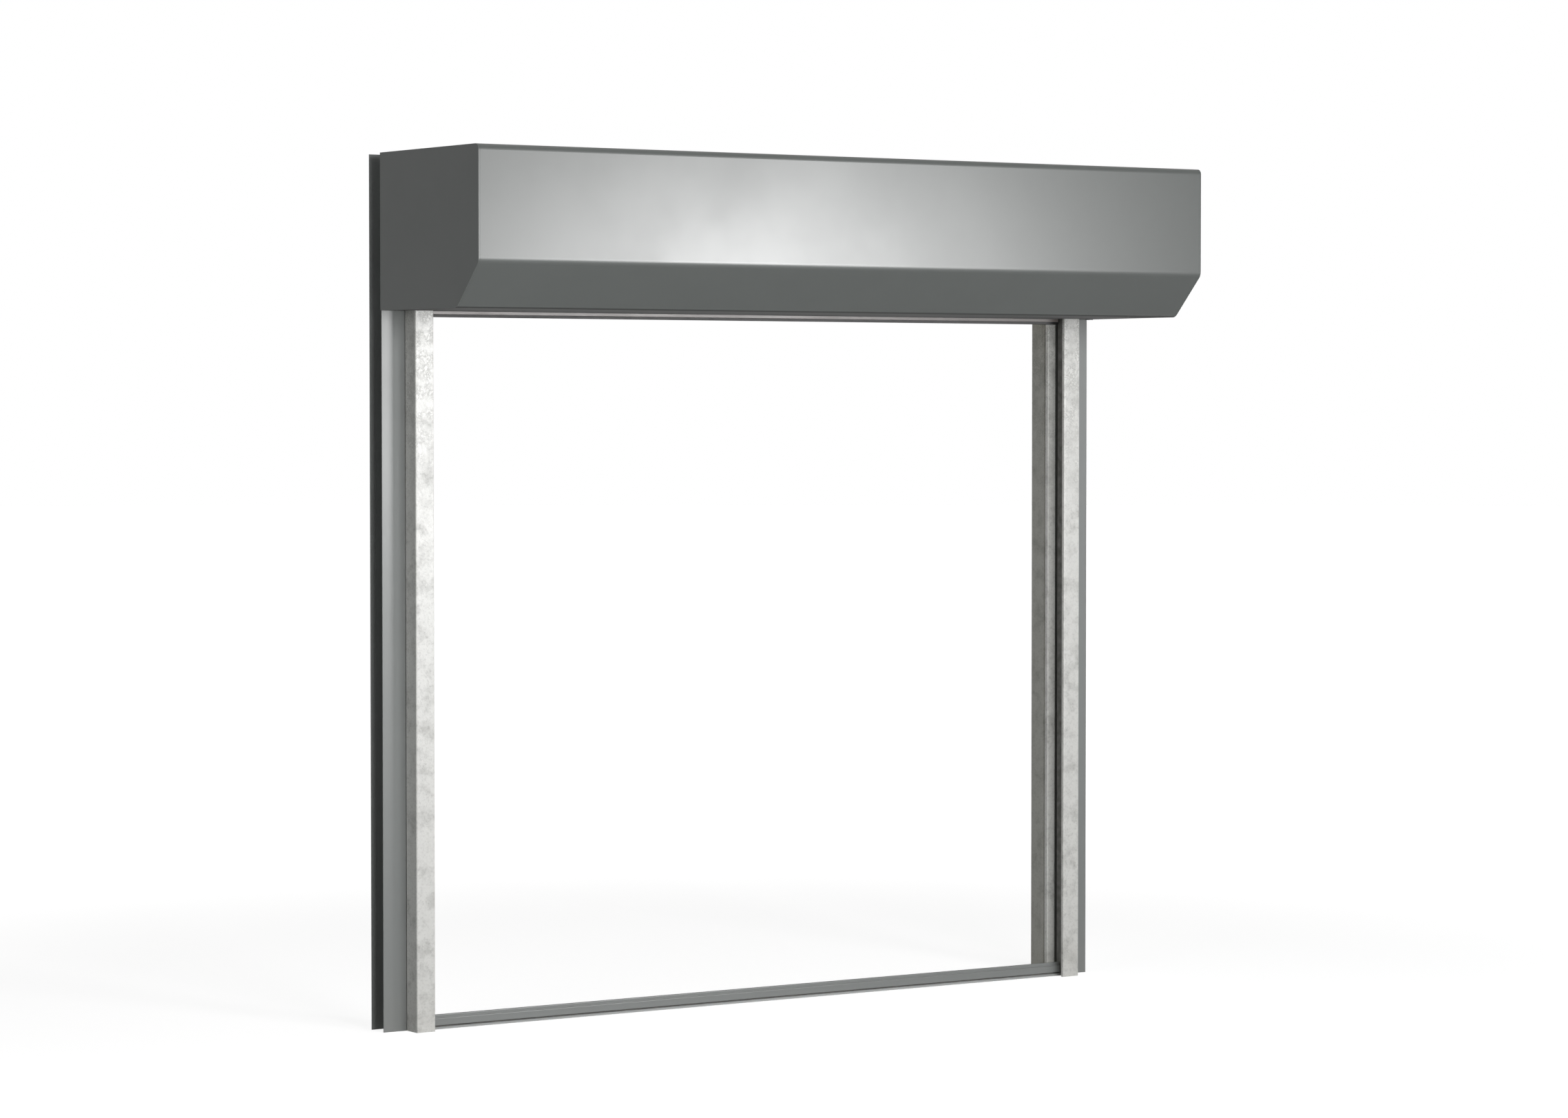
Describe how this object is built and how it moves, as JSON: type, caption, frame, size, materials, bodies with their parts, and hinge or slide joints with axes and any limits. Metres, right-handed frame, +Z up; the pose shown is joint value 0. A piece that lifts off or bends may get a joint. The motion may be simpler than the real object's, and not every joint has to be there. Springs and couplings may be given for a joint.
{
  "type": "roller shutter",
  "caption": "Open rolling shutter for a loading dock: a folded hood with a wound curtain over guide rails, a wall frame, reveal posts and a floor sill.",
  "frame": {"origin": "on the floor, at the centre of the width, at the front face of the painted wall frame", "axes": "+X to the right seen from the hood's side, +Y into the wall, +Z up"},
  "size_m": [3, 0.7999, 2.9882],
  "materials": {
    "hood_paint": "satin light grey powder coat",
    "frame_paint": "satin light grey powder coat",
    "galvanised": "mottled hot-dip galvanised, semi-matt",
    "rail_aluminium": "satin mill finish",
    "sill_paint": "satin grey coat",
    "slat_aluminium": "satin coil coat",
    "rubber": "matt black",
    "dark_plastic": "matt dark grey",
    "brush": "dense black bristle",
    "lintel_core": "pale insulation",
    "lintel_skin": "satin light grey coil coat",
    "console_steel": "zinc-grey plate",
    "shaft_steel": "turned steel",
    "bearing_iron": "cast, semi-matt",
    "motor_paint": "satin dark coat",
    "zinc": "bright zinc"
  },
  "bodies": {
    "frame": {"hood_cover": "hood_paint", "end_cap_left": "hood_paint", "end_cap_right": "hood_paint", "head_channel": "frame_paint", "wall_channel_left": "frame_paint", "wall_channel_right": "frame_paint", "guide_rail_left": "galvanised", "guide_rail_right": "galvanised", "guide_liner_left": "galvanised", "guide_liner_right": "galvanised", "reveal_post_left": "galvanised", "reveal_post_right": "galvanised", "hood_rib_left": "galvanised", "hood_rib_centre": "galvanised", "hood_rib_right": "galvanised", "rail_bracket_left": "galvanised", "rail_bracket_right": "galvanised", "foot_plate_left": "galvanised", "foot_plate_right": "galvanised", "lintel_seal_carrier": "rail_aluminium", "sill_foot": "rail_aluminium", "sill_bar": "sill_paint", "sill_bed": "rubber", "guide_insert_left": "dark_plastic", "guide_insert_right": "dark_plastic", "inlet_funnel_left": "dark_plastic", "inlet_funnel_right": "dark_plastic", "cable_grommet": "dark_plastic", "lintel_brush": "brush", "lintel_core": "lintel_core", "lintel_skins": "lintel_skin", "console_left": "console_steel", "console_right": "console_steel", "motor_bracket": "console_steel", "bearing_ring": "shaft_steel", "bearing_housing": "bearing_iron", "motor_tube": "motor_paint", "motor_head": "motor_paint", "console_screws": "zinc", "bracket_screws": "zinc", "end_cap_screws": "zinc", "hood_screws": "zinc", "bearing_bolts": "zinc", "motor_bolts": "zinc"},
    "barrel": {"idler_shaft": "shaft_steel", "barrel_end_disc": "console_steel", "barrel_tube": "console_steel", "drive_wheel": "shaft_steel", "limit_crown": "dark_plastic", "output_shaft": "shaft_steel", "curtain_coil": "slat_aluminium", "curtain_straps": "shaft_steel"},
    "bottom_rail": {"bottom_rail": "rail_aluminium", "bottom_seal": "rubber", "end_shoe_left": "dark_plastic", "end_shoe_right": "dark_plastic", "curtain_lead": "slat_aluminium"}
  },
  "joints": [
    {"name": "barrel_turn", "type": "hinge", "parent": "frame", "child": "barrel", "pos_m": [0, -0.205, 2.74784], "axis": [-1, 0, 0], "range_deg": [0, 887.9]},
    {"name": "curtain_slide", "type": "slide", "parent": "frame", "child": "bottom_rail", "axis": [0, 0, -1], "range_m": [0, 2.3965], "deforming": ["curtain_lead"]}
  ],
  "couplings": [
    {"joint": "curtain_slide", "follows": "barrel_turn", "m_per_rad": 0.15463}
  ]
}
